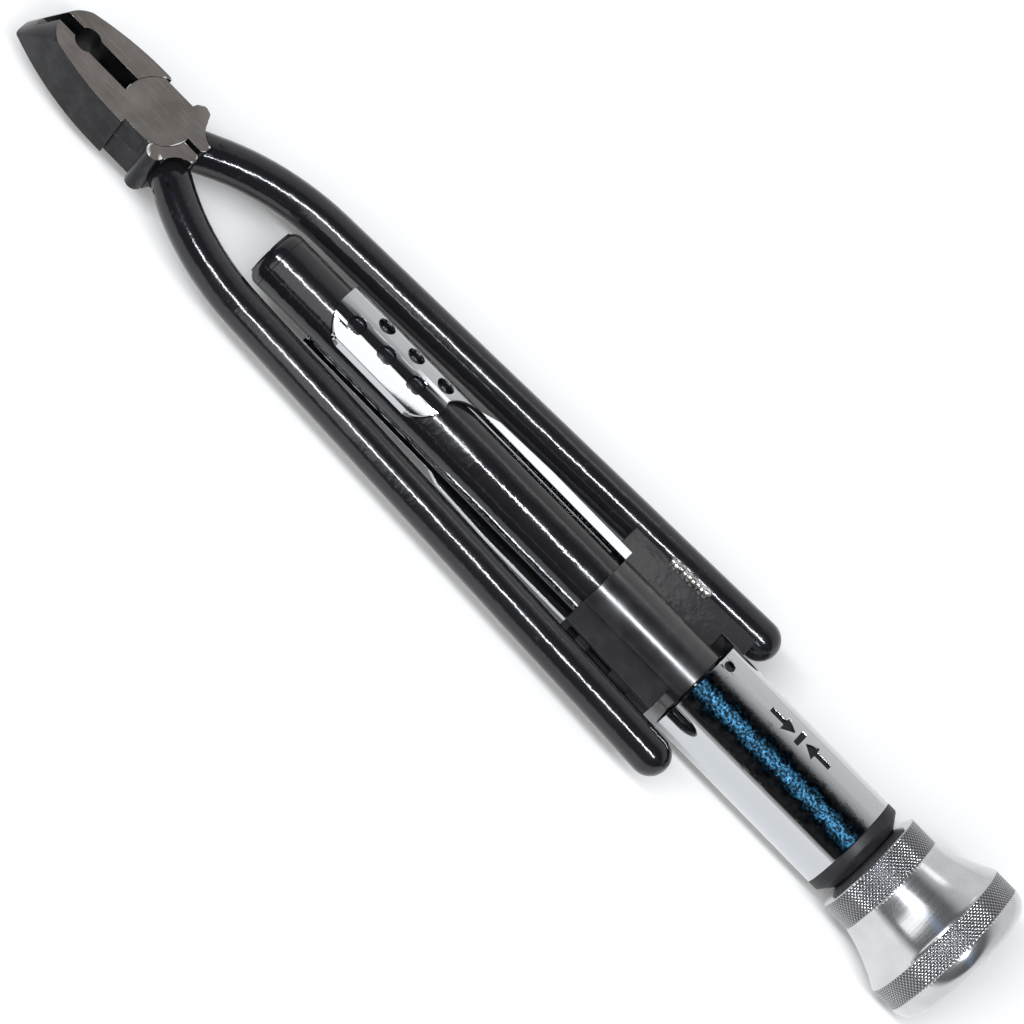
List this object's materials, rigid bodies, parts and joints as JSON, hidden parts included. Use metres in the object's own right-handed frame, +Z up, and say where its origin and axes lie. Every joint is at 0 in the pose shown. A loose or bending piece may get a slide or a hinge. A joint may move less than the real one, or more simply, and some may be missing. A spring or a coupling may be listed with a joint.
{
  "type": "safety wire twisting pliers",
  "caption": "Reversible safety-wire twisting pliers with lockable curved handles, a spring-loaded spiral rod in a barrel and a knurled pull knob.",
  "frame": {"origin": "on the pivot axis, in the flat underside of the head", "axes": "+X from the head to the pull knob, parallel to the barrel; +Y to the upper handle, in the plane of the handles; +Z up, out of the head's upper face"},
  "size_m": [0.2797, 0.0498, 0.036],
  "materials": {
    "ground_steel": "ground flat faces, polished edges, dark forged sides",
    "gloss_black_paint": "gloss black enamel, slightly beaded",
    "satin_black_metal": "satin black oxide",
    "polished_chrome": "polished chrome plate",
    "knurled_aluminium": "bright turned aluminium with knurled bands",
    "dark_steel": "machined steel, lightly oiled",
    "weld_metal": "bare weld metal",
    "bronze": "turned bronze"
  },
  "bodies": {
    "frame": {"upper_jaw_half": "ground_steel", "pivot_rivet": "dark_steel", "upper_handle": "gloss_black_paint", "barrel_tube": "gloss_black_paint", "barrel_cap": "gloss_black_paint", "barrel_web": "gloss_black_paint", "weld_beads": "weld_metal", "spring_seat": "bronze", "clutch_housing": "dark_steel", "front_clutch_ring": "dark_steel", "rear_clutch_ring": "dark_steel", "thrust_washer": "dark_steel", "retaining_ring": "dark_steel", "rod_bushing": "bronze", "detent_ball": "dark_steel", "detent_spring": "dark_steel", "end_collar": "satin_black_metal", "return_spring": "dark_steel"},
    "lower_arm": {"lower_jaw_half": "ground_steel", "lower_handle": "gloss_black_paint", "latch_lug": "satin_black_metal"},
    "lock_slide": {"lock_sleeve": "satin_black_metal", "lock_cheeks": "satin_black_metal", "lock_wall": "satin_black_metal", "lock_hook": "satin_black_metal", "thumb_plate_top": "polished_chrome", "thumb_plate_bottom": "polished_chrome"},
    "direction_selector": {"selector_sleeve": "polished_chrome", "shift_ring": "dark_steel", "selector_keys": "dark_steel"},
    "ratchet_nut": {"drive_nut": "bronze"},
    "rod_guide": {"spring_guide": "dark_steel"},
    "knob_and_rod": {"spiral_rod": "dark_steel", "rod_end_nut": "dark_steel", "knob": "knurled_aluminium", "knob_screw": "dark_steel"}
  },
  "joints": [
    {"name": "handle_pivot", "type": "hinge", "parent": "frame", "child": "lower_arm", "pos_m": [0, 0, 0], "axis": [0, 0, -1], "range_deg": [0, 18]},
    {"name": "lock_travel", "type": "slide", "parent": "frame", "child": "lock_slide", "axis": [-1, 0, 0], "range_m": [0, 0.006]},
    {"name": "selector_shift", "type": "slide", "parent": "frame", "child": "direction_selector", "axis": [-1, 0, 0], "range_m": [0, 0.003]},
    {"name": "nut_spin", "type": "hinge", "parent": "frame", "child": "ratchet_nut", "pos_m": [0, 0, 0.0066], "axis": [1, 0, 0], "continuous": true},
    {"name": "knob_pull", "type": "slide", "parent": "ratchet_nut", "child": "rod_guide", "axis": [1, 0, 0], "range_m": [0, 0.07], "stiffness_N_per_m": 80, "springref_m": -0.03, "deforming": ["return_spring"]},
    {"name": "rod_spin", "type": "hinge", "parent": "rod_guide", "child": "knob_and_rod", "pos_m": [0, 0, 0.0066], "axis": [1, 0, 0], "range_deg": [0, 505]}
  ],
  "couplings": [
    {"joint": "rod_spin", "follows": "knob_pull", "rad_per_m": 125.66}
  ]
}
